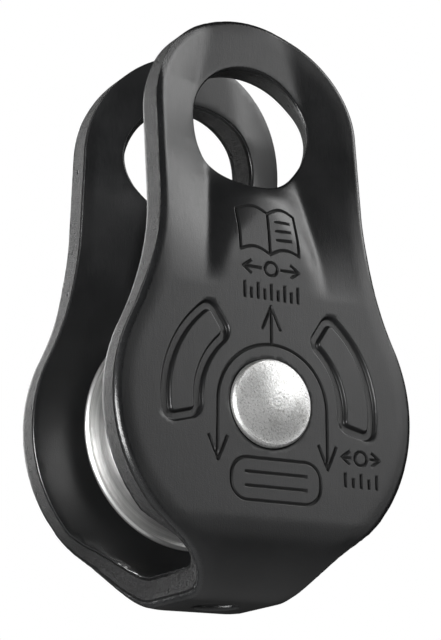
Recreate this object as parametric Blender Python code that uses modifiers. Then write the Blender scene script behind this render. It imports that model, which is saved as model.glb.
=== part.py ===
"""Compact rope pulley with fixed side plates, built at real size.

One aluminium strap is folded into a U: two pear-shaped side plates and the
narrow bridge that joins them underneath.  A grooved sheave turns between the
plates on two flanged bushes, round a sleeve that a rivet clamps in place.
The plates are pressed towards each other at the top, round the eye that
takes a connector.

Frame: +Z up, Y along the axle, X across the plates.  The origin is on the
underside of the bridge, in the middle.  All driving dimensions are in
millimetres and are scaled to metres when a mesh is made.
"""

import math

import bmesh
import bpy
from mathutils import Matrix, Vector

MM = 0.001
GAP = 0.3                 # space kept between pieces that rest on each other
RUNNING = 0.08            # radial clearance of a piece that turns on the sleeve

# Strap: plate outline
AXLE_Z = 24.5             # axle above the underside of the bridge
LOBE_R = 22.0             # wide lower lobe, centred on the axle
NECK_HALF = 15.5          # half width of the neck and radius of the rounded top
NECK_FILLET = 42.0        # concave sweep from the lobe up to the neck
BRIDGE_HALF = 7.2         # half width of the bridge
BRIDGE_FILLET = 15.0      # concave sweep from the lobe down to the bridge
TOP_Z = AXLE_Z + 39.2     # centre of the rounded top
EYE_Z = AXLE_Z + 38.9     # centre of the eye
EYE_R = 8.7
EYE_FLARE = 1.6           # extra half width of the eye across the inner faces
DRAIN_R = 2.9             # hole through the bridge

# Strap: thickness and fold
PLATE_T = 4.3
OUTER_Y = 14.8            # outer face of each plate from the middle
BEND_R = 10.0             # outer radius of each fold

# Strap: the pressing round the eye
TILT = math.tan(math.radians(5.6))
TILT_Z = AXLE_Z + 21.5    # the plates lean inwards above this height
TILT_BLEND = 3.0
VALLEY_TIP_Z = AXLE_Z + 15.0
# (height, depth) of the pressing below the side edges
RECESS = [(VALLEY_TIP_Z, 0.0), (AXLE_Z + 31.6, 3.0), (AXLE_Z + 33.6, 3.2),
          (AXLE_Z + 35.6, 3.05), (EYE_Z, 2.5), (TOP_Z + NECK_HALF, 1.4)]
PANEL_START_Z = AXLE_Z + 18.6
PANEL_SLOPE = math.tan(math.radians(3.0))
PANEL_FADE = (EYE_Z - 11.5, EYE_Z - 5.5)   # the raised panel under the eye ends here
PANEL_WALL = (2.2, 4.7)   # width of its step into a valley: below, and beside the eye
PANEL_SPREAD = (AXLE_Z + 20.5, AXLE_Z + 27.0)   # the step grows wider between these
# (height, half spacing) of the valley lines, and of the creases above the eye
VALLEYS = [(VALLEY_TIP_Z, 9.1), (AXLE_Z + 30.5, 6.9), (EYE_Z, 8.4),
           (EYE_Z + 5.0, 8.7), (EYE_Z + 16.0, 6.6)]

# Grooves round the axle: an arc-shaped loop on each side
LOOP_X = 0.24             # the grooves sit a little to one side of the axle
LOOP_R = 13.03
LOOP_HALF = 2.9
LOOP_ANGLES = (-14.0, 57.0)
LOOP_CORNER = 1.3
LOOP_WIDTH = 1.15
LOOP_DEPTH = 0.7

# Turning pieces
SHEAVE_R = 16.2
SHEAVE_HALF = 7.4
TREAD_R = 10.5
LIP_R = 0.7
BORE_R = 6.5
FACE_RECESS = 0.4         # the sheave's faces are turned back round the bush flanges
DISH_MARGIN = 1.2         # flat left outside each bush flange
DISH_SLOPE = 0.8          # width of the slope from that flat out to the full face
BUSH_FLANGE_R = 8.6
BUSH_FLANGE_T = 1.0
BUSH_LENGTH = 6.0
SLEEVE_R = 5.0
WASHER_R = 8.6
SHANK_R = 3.6
HEAD_R = 5.8
HEAD_RIM = 0.9
HEAD_DOME = 1.2
DOME_POWER = 1.4          # above 1 the dome flattens towards its edge
SEAT_DEPTH = 0.5          # spot face that each rivet head sits in

STEPS = 48                # sides of a turned piece


def clear_scene():
    for thing in list(bpy.data.objects):
        bpy.data.objects.remove(thing, do_unlink=True)


def new_collection(name):
    group = bpy.data.collections.new(name)
    bpy.context.scene.collection.children.link(group)
    return group


def material(name, colour, roughness, metallic):
    made = bpy.data.materials.new(name)
    made.use_nodes = True
    shader = made.node_tree.nodes["Principled BSDF"]
    shader.inputs["Base Color"].default_value = (*colour, 1.0)
    shader.inputs["Roughness"].default_value = roughness
    shader.inputs["Metallic"].default_value = metallic
    made.diffuse_color = (*colour, 1.0)
    return made


def smooth(mesh, angle=35.0):
    mesh.shade_smooth()
    mesh.set_sharp_from_angle(angle=math.radians(angle))


def link_mesh(name, mesh, group, look=None):
    piece = bpy.data.objects.new(name, mesh)
    group.objects.link(piece)
    if look is not None:
        mesh.materials.append(look)
    return piece


def mesh_from(bm, name):
    mesh = bpy.data.meshes.new(name)
    bm.to_mesh(mesh)
    bm.free()
    return mesh


# ---------------------------------------------------------------- cutters

def hide_cutter(piece):
    piece.hide_render = True
    piece.display_type = "WIRE"


def cylinder_cutter(name, radius, length, centre, axis, group, sides=STEPS):
    bm = bmesh.new()
    bmesh.ops.create_cone(bm, cap_ends=True, segments=sides, radius1=radius * MM,
                          radius2=radius * MM, depth=length * MM)
    piece = link_mesh(name, mesh_from(bm, name), group)
    turn = Vector((0, 0, 1)).rotation_difference(Vector(axis)).to_matrix().to_4x4()
    piece.matrix_world = Matrix.Translation(Vector(centre) * MM) @ turn
    hide_cutter(piece)
    return piece


def flared_cutter(name, radius, flare, outer, inner, centre_z, group):
    """Hole along Y: round at the outer faces, wider across X inside the inner ones."""
    bm = bmesh.new()
    rings = []
    for y, extra in ((-2.0 * outer, 0.0), (-outer, 0.0), (-inner, flare), (inner, flare),
                     (outer, 0.0), (2.0 * outer, 0.0)):
        ring = []
        for index in range(STEPS):
            angle = 2.0 * math.pi * index / STEPS
            place = Vector(((radius + extra) * math.cos(angle), y,
                            centre_z + radius * math.sin(angle)))
            ring.append(bm.verts.new(place * MM))
        rings.append(ring)
    for here, after in zip(rings, rings[1:]):
        for index in range(STEPS):
            beside = (index + 1) % STEPS
            bm.faces.new((here[index], here[beside], after[beside], after[index]))
    bm.faces.new(rings[0])
    bm.faces.new(rings[-1])
    bmesh.ops.recalc_face_normals(bm, faces=bm.faces)
    piece = link_mesh(name, mesh_from(bm, name), group)
    hide_cutter(piece)
    return piece


def cut(target, cutter):
    change = target.modifiers.new(cutter.name, "BOOLEAN")
    change.operation = "DIFFERENCE"
    change.solver = "EXACT"
    change.object = cutter


# ---------------------------------------------------------- strap outline

def fillet_arc(half, fillet, way):
    """Concave arc from the lobe to a straight edge above (1) or below (-1) it.

    Returns the arc's centre and the height at which it leaves the lobe.
    """
    across = half + fillet
    rise = way * math.sqrt((LOBE_R + fillet) ** 2 - across ** 2)
    touch = rise * LOBE_R / (LOBE_R + fillet)
    return across, AXLE_Z + rise, AXLE_Z + touch


def half_width(height):
    """Half width of the flat blank at a height measured along its outer face."""
    if height >= TOP_Z:
        return math.sqrt(max(NECK_HALF ** 2 - (height - TOP_Z) ** 2, 0.0))
    neck_x, neck_z, neck_start = fillet_arc(NECK_HALF, NECK_FILLET, 1)
    foot_x, foot_z, foot_start = fillet_arc(BRIDGE_HALF, BRIDGE_FILLET, -1)
    if height >= neck_z:
        return NECK_HALF
    if height > neck_start:
        return neck_x - math.sqrt(NECK_FILLET ** 2 - (neck_z - height) ** 2)
    if height >= foot_start:
        return math.sqrt(LOBE_R ** 2 - (height - AXLE_Z) ** 2)
    if height > foot_z:
        return foot_x - math.sqrt(BRIDGE_FILLET ** 2 - (height - foot_z) ** 2)
    return BRIDGE_HALF


# --------------------------------------------------------- strap pressing

def interpolate(table, value):
    if value <= table[0][0]:
        return table[0][1]
    for (low, first), (high, last) in zip(table, table[1:]):
        if value <= high:
            return first + (last - first) * (value - low) / (high - low)
    return table[-1][1]


def ramp(value, start, end):
    return min(max((value - start) / (end - start), 0.0), 1.0)


def soft_step(value, start, end):
    part = ramp(value, start, end)
    return part * part * (3.0 - 2.0 * part)


def panel_wall(height):
    """Width of the step from the panel into a valley: wider towards the eye."""
    low, high = PANEL_WALL
    return low + (high - low) * soft_step(height, *PANEL_SPREAD)


def lean(height):
    """How far a plate leans inwards at a height, with a soft start."""
    past = height - TILT_Z
    if past <= -TILT_BLEND:
        return 0.0
    if past >= TILT_BLEND:
        return TILT * past
    return TILT * (past + TILT_BLEND) ** 2 / (4.0 * TILT_BLEND)


def pressing(across, height):
    """Depth of the pressed zone below the side edges."""
    valley = interpolate(VALLEYS, height)
    depth = interpolate(RECESS, height)
    across = abs(across)
    if across >= valley:
        return depth * ramp(NECK_HALF - across, 0.0, NECK_HALF - valley)
    floor = min(depth, PANEL_SLOPE * max(0.0, height - PANEL_START_Z))
    floor += (depth - floor) * soft_step(height, *PANEL_FADE)
    return floor + (depth - floor) * ramp(across, valley - panel_wall(height), valley)


def stations(height):
    """Places across one side of the blank, with lines along each crease."""
    width = half_width(height)
    valley = min(interpolate(VALLEYS, height), 0.72 * width)
    step = min(panel_wall(height), 0.75 * valley)
    panel = [(valley - step) * part for part in (0.0, 0.35, 0.7, 1.0)]
    flank = [valley + (width - valley) * part for part in (0.0, 0.35, 0.7, 1.0)]
    return panel + flank


# ------------------------------------------------------------- strap path

def fold_rows():
    """Rows from the middle of the bridge to the top of a plate.

    Each row is (height on the flat blank, y of the outer face, z, upright);
    y is for the plate on the +Y side.
    """
    flat_end = OUTER_Y - BEND_R
    fold_length = BEND_R * math.pi / 2.0
    rows = []
    for part in (0.0, 0.5):
        blank = BEND_R - fold_length - flat_end * (1.0 - part)
        rows.append((blank, flat_end * part, 0.0, False))
    fold_steps = 7
    for index in range(fold_steps + 1):
        angle = math.pi / 2.0 * index / fold_steps
        blank = BEND_R - fold_length * (1.0 - index / fold_steps)
        rows.append((blank, flat_end + BEND_R * math.sin(angle),
                     BEND_R - BEND_R * math.cos(angle), False))
    for height in upright_heights():
        rows.append((height, OUTER_Y, height, True))
    return rows


def upright_heights():
    heights = []
    lower_steps = 11
    for index in range(1, lower_steps + 1):
        heights.append(BEND_R + (VALLEY_TIP_Z - BEND_R) * index / lower_steps)
    pressed_steps = 10
    for index in range(1, pressed_steps + 1):
        heights.append(VALLEY_TIP_Z + (TOP_Z - VALLEY_TIP_Z) * index / pressed_steps)
    cap_steps = 9
    for index in range(1, cap_steps + 1):
        heights.append(TOP_Z + NECK_HALF * math.sin(math.pi / 2.0 * index / cap_steps))
    return heights


def strap_point(row, across):
    blank, y, z, upright = row
    if upright:
        y -= lean(z) + pressing(across, z)
    return Vector((across, y, z)) * MM


def inward(point):
    """Direction from the outer face to the inner one, through the thickness."""
    side = math.copysign(1.0, point.y)
    if point.z >= BEND_R * MM:
        return Vector((0.0, -side, 0.0))
    if abs(point.y) <= (OUTER_Y - BEND_R) * MM:
        return Vector((0.0, 0.0, 1.0))
    centre = Vector((point.x, side * (OUTER_Y - BEND_R) * MM, BEND_R * MM))
    return (centre - point).normalized()


def strap_blank():
    """The strap: a grid laid along the fold, from top to top, then thickened."""
    half = fold_rows()
    front = [(blank, -y, z, upright) for blank, y, z, upright in reversed(half[1:])]
    rows = front + half
    side = stations(half[0][0])
    columns = 2 * len(side) - 1
    bm = bmesh.new()
    bmesh.ops.create_grid(bm, x_segments=columns - 1, y_segments=len(rows) - 1,
                          size=1.0)
    ordered = sorted(bm.verts, key=lambda vert: (round(vert.co.y, 6), vert.co.x))
    for index, vert in enumerate(ordered):
        row = rows[index // columns]
        places = stations(row[0])
        full = [-place for place in reversed(places[1:])] + places
        blank, y, z, upright = row
        mirrored = (blank, abs(y), z, upright)
        point = strap_point(mirrored, full[index % columns])
        vert.co = Vector((point.x, math.copysign(point.y, y), point.z))
    bmesh.ops.remove_doubles(bm, verts=bm.verts, dist=0.00005)
    grown = bmesh.ops.extrude_face_region(bm, geom=bm.faces[:], use_keep_orig=True)
    for vert in grown["geom"]:
        if isinstance(vert, bmesh.types.BMVert):
            vert.co += inward(vert.co) * PLATE_T * MM
    bmesh.ops.recalc_face_normals(bm, faces=bm.faces)
    return bm


# ------------------------------------------------------------ loop groove

def slot_outline(half, spread):
    """Rounded arc slot round the axle, on the +X side, grown by `spread`."""
    low, high = (math.radians(angle) for angle in LOOP_ANGLES)
    corner = LOOP_CORNER + spread
    outer = LOOP_R + half - corner
    inner = LOOP_R - half + corner
    grow = spread - corner
    low_outer, low_inner = low - grow / outer, low - grow / inner
    high_outer, high_inner = high + grow / outer, high + grow / inner
    points = []

    def arc(radius, start, end, count):
        for index in range(count):
            angle = start + (end - start) * index / (count - 1)
            points.append((radius * math.cos(angle), radius * math.sin(angle)))

    def round_corner(radius, angle, start):
        centre = Vector((radius * math.cos(angle), radius * math.sin(angle)))
        for index in range(1, 4):
            turn = angle + start + math.pi / 2.0 * index / 4.0
            points.append((centre.x + corner * math.cos(turn),
                           centre.y + corner * math.sin(turn)))

    arc(LOOP_R + half, low_outer, high_outer, 9)
    round_corner(outer, high_outer, 0.0)
    points.append((inner * math.cos(high_inner) - corner * math.sin(high_inner),
                   inner * math.sin(high_inner) + corner * math.cos(high_inner)))
    round_corner(inner, high_inner, math.pi / 2.0)
    arc(LOOP_R - half, high_inner, low_inner, 9)
    round_corner(inner, low_inner, math.pi)
    points.append((outer * math.cos(low_outer) + corner * math.sin(low_outer),
                   outer * math.sin(low_outer) - corner * math.cos(low_outer)))
    round_corner(outer, low_outer, 1.5 * math.pi)
    return points


def loop_cutter(name, side, group):
    """Closed groove loop: the slot outline with its island left standing."""
    data = bpy.data.curves.new(name, "CURVE")
    data.dimensions = "2D"
    data.fill_mode = "BOTH"
    data.extrude = LOOP_DEPTH * MM
    for half, spread in ((LOOP_HALF, 0.0), (LOOP_HALF - LOOP_WIDTH, -LOOP_WIDTH)):
        spline = data.splines.new("POLY")
        points = slot_outline(half, spread)
        spline.points.add(len(points) - 1)
        for point, (x, y) in zip(spline.points, points):
            point.co = (side * x * MM, y * MM, 0.0, 1.0)
        spline.use_cyclic_u = True
    guide = bpy.data.objects.new(name + "_curve", data)
    group.objects.link(guide)
    guide.rotation_euler = (math.pi / 2.0, 0.0, 0.0)
    guide.location = Vector((LOOP_X, -OUTER_Y, AXLE_Z)) * MM
    bpy.context.view_layer.update()
    graph = bpy.context.evaluated_depsgraph_get()
    mesh = bpy.data.meshes.new_from_object(guide.evaluated_get(graph))
    bm = bmesh.new()
    bm.from_mesh(mesh)
    bmesh.ops.remove_doubles(bm, verts=bm.verts, dist=0.000001)
    bmesh.ops.recalc_face_normals(bm, faces=bm.faces)
    bm.to_mesh(mesh)
    bm.free()
    piece = link_mesh(name, mesh, group)
    piece.matrix_world = guide.matrix_world.copy()
    bpy.data.objects.remove(guide, do_unlink=True)
    hide_cutter(piece)
    return piece


def build_frame(group, cutters, look):
    mesh = mesh_from(strap_blank(), "frame")
    piece = link_mesh("frame", mesh, group, look)
    across = 2.0 * OUTER_Y + 8.0
    along_y = (0, 1, 0)
    eye_face = OUTER_Y - lean(EYE_Z) - interpolate(RECESS, EYE_Z)
    eye = flared_cutter("eye_cutter", EYE_R, EYE_FLARE, eye_face, eye_face - PLATE_T,
                        EYE_Z, cutters)
    axle = cylinder_cutter("axle_cutter", SHANK_R + GAP, across, (0, 0, AXLE_Z),
                           along_y, cutters)
    drain = cylinder_cutter("drain_cutter", DRAIN_R, 4.0 * PLATE_T, (0, 0, 0),
                            (0, 0, 1), cutters, 24)
    for cutter in (eye, axle, drain):
        cut(piece, cutter)
    for name, way in (("front", -1), ("rear", 1)):
        seat = cylinder_cutter(name + "_seat_cutter", HEAD_R + GAP, 2.0 * SEAT_DEPTH,
                               (0, way * OUTER_Y, AXLE_Z), along_y, cutters)
        cut(piece, seat)
    for name, side in (("left", -1), ("right", 1)):
        cut(piece, loop_cutter(name + "_loop_cutter", side, cutters))
    smooth(mesh)
    return piece


# ---------------------------------------------------------- turned pieces

def turned(name, profile, group, look, steps=STEPS):
    """Solid of revolution round the axle from a closed (radius, along) outline.

    The outline runs down its outer side; `along` is measured along the axle,
    towards the front of the object.
    """
    mesh = bpy.data.meshes.new(name)
    points = [(radius * MM, 0.0, along * MM) for radius, along in profile]
    count = len(points)
    closed = profile[0][0] > 0.0 or profile[-1][0] > 0.0
    edges = [(index, index + 1) for index in range(count - 1)]
    if closed:
        edges.append((count - 1, 0))
    mesh.from_pydata(points, edges, [])
    piece = link_mesh(name, mesh, group, look)
    piece.location = Vector((0.0, 0.0, AXLE_Z)) * MM
    piece.rotation_euler = (math.pi / 2.0, 0.0, 0.0)
    screw = piece.modifiers.new("turn", "SCREW")
    screw.axis = "Z"
    screw.steps = steps
    screw.render_steps = steps
    screw.use_merge_vertices = True
    screw.merge_threshold = 0.00001
    screw.use_smooth_shade = False
    return piece


def arc_points(centre_r, centre_a, radius, start, end, count):
    """Points of an arc in the (radius, along) plane; angles in degrees."""
    made = []
    for index in range(count):
        angle = math.radians(start + (end - start) * index / (count - 1))
        made.append((centre_r + radius * math.cos(angle),
                     centre_a + radius * math.sin(angle)))
    return made


def sheave_profile():
    lip = SHEAVE_HALF - LIP_R
    groove = lip - 0.5 * LIP_R    # the arc of the groove meets each lip on its inner side
    deep = SHEAVE_R - LIP_R - TREAD_R
    sweep = []
    count = 11
    for index in range(count):
        angle = math.radians(-90.0 + 180.0 * index / (count - 1))
        sweep.append((SHEAVE_R - LIP_R - deep * math.cos(angle),
                      -groove * math.sin(angle)))
    top_lip = arc_points(SHEAVE_R - LIP_R, lip, LIP_R, 90.0, -60.0, 5)
    low_lip = arc_points(SHEAVE_R - LIP_R, -lip, LIP_R, 60.0, -90.0, 5)
    face = SHEAVE_HALF - FACE_RECESS
    dish = BUSH_FLANGE_R + DISH_MARGIN
    slope = dish + DISH_SLOPE
    return ([(BORE_R, face), (dish, face), (slope, SHEAVE_HALF)] + top_lip
            + sweep[1:-1] + low_lip
            + [(slope, -SHEAVE_HALF), (dish, -face), (BORE_R, -face)])


def bush_profile(way):
    inner = SLEEVE_R + RUNNING
    outer = BORE_R - GAP
    seat = SHEAVE_HALF - FACE_RECESS + GAP
    top = seat + BUSH_FLANGE_T
    end = seat - BUSH_LENGTH
    profile = [(inner, top), (BUSH_FLANGE_R, top), (BUSH_FLANGE_R, seat),
               (outer, seat), (outer, end), (inner, end)]
    if way < 0:
        profile = [(radius, -along) for radius, along in reversed(profile)]
    return profile


def washer_profile(way):
    outer = OUTER_Y - PLATE_T - GAP
    inner = SHEAVE_HALF - FACE_RECESS + BUSH_FLANGE_T + 2.0 * GAP
    bore = SLEEVE_R + RUNNING
    profile = [(bore, outer), (WASHER_R, outer), (WASHER_R, inner), (bore, inner)]
    if way < 0:
        profile = [(radius, -along) for radius, along in reversed(profile)]
    return profile


def sleeve_profile():
    half = OUTER_Y - PLATE_T - GAP
    bore = SHANK_R + GAP
    return [(bore, half), (SLEEVE_R, half), (SLEEVE_R, -half), (bore, -half)]


def rivet_profile():
    """Half outline of the rivet: a shank with a low domed head at each end."""
    seat = OUTER_Y - SEAT_DEPTH + GAP
    rim = OUTER_Y + HEAD_RIM
    top = []
    count = 7
    for index in range(count):
        part = index / (count - 1)
        radius = HEAD_R * math.sin(math.pi / 2.0 * part)
        rise = math.cos(math.pi / 2.0 * part) ** DOME_POWER
        top.append((radius, rim + HEAD_DOME * rise))
    head = top + [(HEAD_R, seat), (SHANK_R, seat)]
    return head + [(radius, -along) for radius, along in reversed(head)]


def build():
    clear_scene()
    parts = new_collection("rope_pulley")
    cutters = new_collection("cutters")
    black = material("black_anodised", (0.035, 0.036, 0.037), 0.45, 0.6)
    bright = material("turned_aluminium", (0.80, 0.80, 0.79), 0.28, 1.0)
    bronze = material("bush_liner", (0.16, 0.15, 0.14), 0.5, 0.3)
    polymer = material("washer_polymer", (0.72, 0.71, 0.67), 0.5, 0.0)
    steel = material("stainless_steel", (0.58, 0.58, 0.57), 0.35, 1.0)

    build_frame(parts, cutters, black)
    turned("sheave", sheave_profile(), parts, bright)
    for name, way in (("front", 1), ("rear", -1)):
        turned("bush_" + name, bush_profile(way), parts, bronze)
        turned("thrust_washer_" + name, washer_profile(way), parts, polymer)
    turned("axle_sleeve", sleeve_profile(), parts, steel)
    turned("axle_rivet", rivet_profile(), parts, steel)


build()
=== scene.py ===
"""Looks of the compact rope pulley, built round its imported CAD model.

The CAD nodes give every size and place.  Each one is replaced here by a finer
mesh of the same shape: the folded strap with rounded edges, rough cut sides
and engraved grooves, and the turned pieces with their machining marks.
Lengths are in millimetres until a mesh is linked into the scene.
"""

import math

import bmesh
import bpy
import numpy as np
from mathutils import Matrix, Vector, kdtree, noise
from mathutils.geometry import delaunay_2d_cdt


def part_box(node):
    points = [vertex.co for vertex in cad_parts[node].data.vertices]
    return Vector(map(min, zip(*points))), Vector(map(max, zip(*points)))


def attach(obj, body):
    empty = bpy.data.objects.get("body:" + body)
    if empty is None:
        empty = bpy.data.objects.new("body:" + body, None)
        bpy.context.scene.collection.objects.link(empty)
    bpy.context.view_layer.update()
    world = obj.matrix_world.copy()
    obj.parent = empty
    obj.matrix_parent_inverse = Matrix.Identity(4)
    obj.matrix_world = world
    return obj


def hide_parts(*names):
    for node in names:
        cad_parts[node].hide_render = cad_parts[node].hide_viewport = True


MM = 0.001
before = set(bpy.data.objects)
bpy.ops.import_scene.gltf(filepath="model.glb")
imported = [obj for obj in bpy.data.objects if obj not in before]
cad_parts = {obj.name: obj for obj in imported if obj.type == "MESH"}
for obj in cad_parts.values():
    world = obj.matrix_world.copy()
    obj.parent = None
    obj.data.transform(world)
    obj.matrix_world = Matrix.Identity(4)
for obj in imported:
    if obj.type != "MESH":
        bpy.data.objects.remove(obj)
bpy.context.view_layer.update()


def spans(node):
    """Largest coordinate of a CAD node on each axis, in millimetres."""
    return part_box(node)[1] / MM


# Sizes read from the CAD nodes
STRAP = spans("frame")
SHEAVE = spans("sheave")
RIVET = spans("axle_rivet")
BUSH = spans("bush_front")
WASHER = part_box("thrust_washer_front")
SLEEVE = spans("axle_sleeve")
AXLE_Z = sum(corner.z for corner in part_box("sheave")) / 2.0 / MM
TOP = STRAP.z             # top of the plates
OUTER_Y = STRAP.y         # outer face of each plate from the middle
LOBE_R = STRAP.x          # wide lower lobe, centred on the axle

# Strap, as in the CAD source
PLATE_T = 4.3
BEND_R = 10.0
NECK_HALF = 15.5
NECK_FILLET = 42.0
BRIDGE_HALF = 7.2
BRIDGE_FILLET = 15.0
TOP_Z = TOP - NECK_HALF
EYE_Z = AXLE_Z + 38.9
EYE_R = 8.7
DRAIN_R = 2.9
BORE_R = 3.9
SEAT_R = 5.92             # spot face of a rivet head
SEAT_DEPTH = 0.5
TILT = math.tan(math.radians(5.6))
TILT_Z = AXLE_Z + 21.5
TILT_BLEND = 3.0
VALLEY_TIP_Z = AXLE_Z + 15.0
RECESS = [(VALLEY_TIP_Z, 0.0), (AXLE_Z + 31.6, 3.0), (AXLE_Z + 33.6, 3.2),
          (AXLE_Z + 35.6, 3.05), (EYE_Z, 2.5), (TOP, 1.4)]
PANEL_START_Z = AXLE_Z + 18.6
PANEL_SLOPE = math.tan(math.radians(3.0))
PANEL_FADE = (EYE_Z - 11.5, EYE_Z - 5.5)
PANEL_WALL = (2.2, 4.7)
PANEL_SPREAD = (AXLE_Z + 20.5, AXLE_Z + 27.0)
VALLEYS = [(VALLEY_TIP_Z, 9.1), (AXLE_Z + 30.5, 6.9), (EYE_Z, 8.4),
           (EYE_Z + 5.0, 8.7), (EYE_Z + 16.0, 6.6)]
CREASE_SOFT = 0.22        # how far each pressed valley is softened
PANEL_SOFT = 0.9          # the same for the edge of the panel

# Strap edges and grain
OUTER_ROLL = (0.95, 0.75)  # die roll along the outline: width on the face, depth
SHOULDER = (2.8, 0.14)     # gentle start of the die roll: the same two measures
NECK_BEVEL = (0.95, 0.24)  # flat land in place of the roll, at the left of the neck
BEVEL_START = (AXLE_Z + 13.0, AXLE_Z + 21.0)   # it grows between these heights
LAND_SPREAD = 6.0         # it reaches full width this far left of the middle
LAND_FACING = (0.1, 0.8)  # how far left an edge faces where it starts, and is full
INNER_ROUND = 0.22
EYE_ROLL = (0.4, 0.4)
EYE_FLARE = 1.6           # the eye is wider across the inner face, where it was bent
EDGE_STEP = 0.36          # spacing of points along an edge
OUTER_GRID = 0.46         # spacing of points over the outer faces
INNER_GRID = 0.85

# Loops and engraving on the front plate, placed from the axle
LOOP_X = 0.24             # the engraving sits a little to one side
LOOP_R = 13.03
LOOP_HALF = 2.9
LOOP_ANGLES = (-14.0, 57.0)
LOOP_CORNER = 1.75
LOOP_WIDTH = 1.15
LOOP_DEPTH = 0.6
LOOP_WALL = 0.36          # width of each sloping wall of the groove
STROKE_HALF = 0.22
STROKE_FLOOR = 0.07
STROKE_DEPTH = 0.32
STROKE_GUARD = 0.06       # flat border that keeps the shading of a line crisp

# Turned pieces, as in the CAD source
SHEAVE_LIP = 0.7
TREAD_R = 10.5
SHEAVE_BORE_R = 6.5
FACE_RECESS = 0.4         # the sheave's faces are turned back round the bush flanges
DISH_MARGIN = 1.2
DISH_SLOPE = 0.8
BORE_CHAMFER = 0.3
TOOL_LINE = 0.012         # depth of the lines left by the lathe
TURNING_BORE_R = 5.08     # bore of the bushes and washers
BARREL_R = 6.2
FLANGE_T = 1.0
SLEEVE_BORE_R = 3.9
SHANK_R = 3.6
HEAD_GAP = 0.3            # between a rivet head and its seat
HEAD_RIM = 0.9
HEAD_CORNER = 0.55
SHARP_ANGLE = math.radians(38.0)

# Distances in metres below which points of a mesh are one
STRAP_MERGE = 0.0000003
TURNED_MERGE = 0.0000005
SLIVER = 0.0000001

# Blank coordinates: x across, u along the strap from the middle of the bridge
FLAT_END = OUTER_Y - BEND_R
FOLD_END = FLAT_END + BEND_R * math.pi / 2.0
RISE = FOLD_END - BEND_R  # u minus height on the blank

# Rough cut sides: depth of each grain, and what the torn edge of the bridge adds
TORN_ZONE = (FOLD_END - 4.0, FOLD_END + 6.0)
SHEAR_LEAST = 0.01
SHEAR_COARSE = (0.02, 0.24)
SHEAR_FINE = (0.015, 0.05)
SHEAR_PITS = 0.10
PIT_LEVEL = 0.35          # noise above this is a pit


# ------------------------------------------------------------ small tools

def ramp(value, start, end):
    return np.clip((value - start) / (end - start), 0.0, 1.0)


def soft_step(value, start, end):
    part = ramp(value, start, end)
    return part * part * (3.0 - 2.0 * part)


def soft_min(first, second, blend):
    part = np.clip(0.5 + 0.5 * (second - first) / blend, 0.0, 1.0)
    return second + (first - second) * part - blend * part * (1.0 - part)


def soft_max(first, second, blend):
    return -soft_min(-first, -second, blend)


def arc(centre, radius, start, end, count):
    """Points of an arc, angles in degrees."""
    angles = np.radians(np.linspace(start, end, count))
    return np.column_stack((centre[0] + radius * np.cos(angles),
                            centre[1] + radius * np.sin(angles)))


def resample(points, step, closed=False):
    """The same line with points an even distance apart."""
    points = np.asarray(points, float)
    if closed:
        points = np.vstack((points, points[:1]))
    lengths = np.hypot(*np.diff(points, axis=0).T)
    along = np.concatenate(([0.0], np.cumsum(lengths)))
    count = max(2, int(round(along[-1] / step)))
    places = np.linspace(0.0, along[-1], count + 1)
    made = np.column_stack([np.interp(places, along, points[:, axis]) for axis in (0, 1)])
    return made[:-1] if closed else made


def normals_of(loop):
    """Outward unit normals of a closed anticlockwise loop."""
    tangent = np.roll(loop, -1, axis=0) - np.roll(loop, 1, axis=0)
    tangent /= np.hypot(*tangent.T)[:, None]
    return np.column_stack((tangent[:, 1], -tangent[:, 0]))


def grain(points, scale, octaves=3):
    """Fractal noise at each point, about -1 to 1."""
    return np.array([noise.fractal(Vector(point) * scale, 1.0, 2.0, octaves)
                     for point in points])


def link(name, mesh, body, nodes, look, place=(0.0, 0.0, 0.0)):
    """Puts a piece in the scene in place of its CAD nodes."""
    piece = bpy.data.objects.new(name, mesh)
    bpy.context.scene.collection.objects.link(piece)
    piece.location = place
    mesh.materials.append(look)
    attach(piece, body)
    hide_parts(*nodes)
    return piece


# ------------------------------------------------------------ strap shape

def fillet_arc(half, fillet, way):
    """Concave arc from the lobe to a straight edge above (1) or below (-1) it."""
    across = half + fillet
    rise = way * math.sqrt((LOBE_R + fillet) ** 2 - across ** 2)
    touch = rise * LOBE_R / (LOBE_R + fillet)
    return across, AXLE_Z + rise, AXLE_Z + touch


def half_width(height):
    """Half width of the flat blank at a height measured along its outer face."""
    def leg(radius, offset):
        return np.sqrt(np.maximum(radius ** 2 - offset ** 2, 0.0))

    neck_x, neck_z, neck_start = fillet_arc(NECK_HALF, NECK_FILLET, 1)
    foot_x, foot_z, foot_start = fillet_arc(BRIDGE_HALF, BRIDGE_FILLET, -1)
    height = np.asarray(height, float)
    return np.select(
        [height >= TOP_Z, height >= neck_z, height > neck_start,
         height >= foot_start, height > foot_z],
        [leg(NECK_HALF, height - TOP_Z), np.full_like(height, NECK_HALF),
         neck_x - leg(NECK_FILLET, neck_z - height), leg(LOBE_R, height - AXLE_Z),
         foot_x - leg(BRIDGE_FILLET, height - foot_z)], BRIDGE_HALF)


def lean(height):
    """How far a plate leans inwards at a height, with a soft start."""
    past = np.clip(height - TILT_Z, -TILT_BLEND, TILT_BLEND)
    soft = TILT * (past + TILT_BLEND) ** 2 / (4.0 * TILT_BLEND)
    return soft + TILT * np.maximum(height - TILT_Z - TILT_BLEND, 0.0)


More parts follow.
